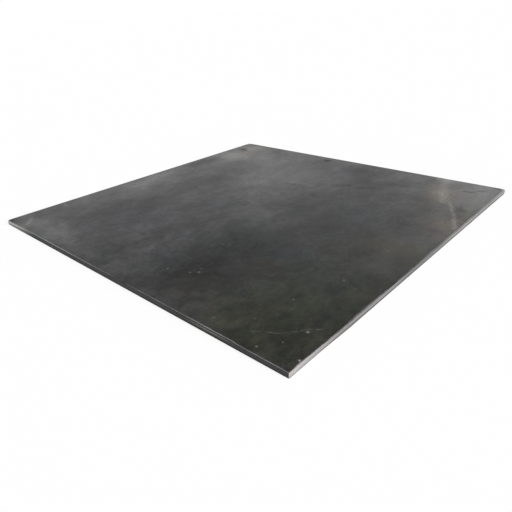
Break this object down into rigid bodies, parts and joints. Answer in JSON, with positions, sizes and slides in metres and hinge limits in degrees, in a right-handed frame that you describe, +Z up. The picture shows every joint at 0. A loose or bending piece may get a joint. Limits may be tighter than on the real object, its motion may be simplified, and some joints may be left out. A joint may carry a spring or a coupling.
{
  "type": "steel plate",
  "caption": "Flat square plate of hot-rolled mild steel with dark mill-scale faces and sheared edges, raw stock to cut, drill, weld or lay as a base.",
  "frame": {"origin": "middle of the underside, on the surface that the plate lies on", "axes": "+Z is up through the thickness, +X is the plate's length and +Y is its width, both square to the cut edges"},
  "size_m": [0.6, 0.6, 0.008],
  "materials": {
    "mill_scale_steel": "hot-rolled mild steel with dark satin mill scale on both faces and bare sheared edges"
  },
  "bodies": {
    "root": {"steel_plate": "mill_scale_steel"}
  },
  "joints": []
}
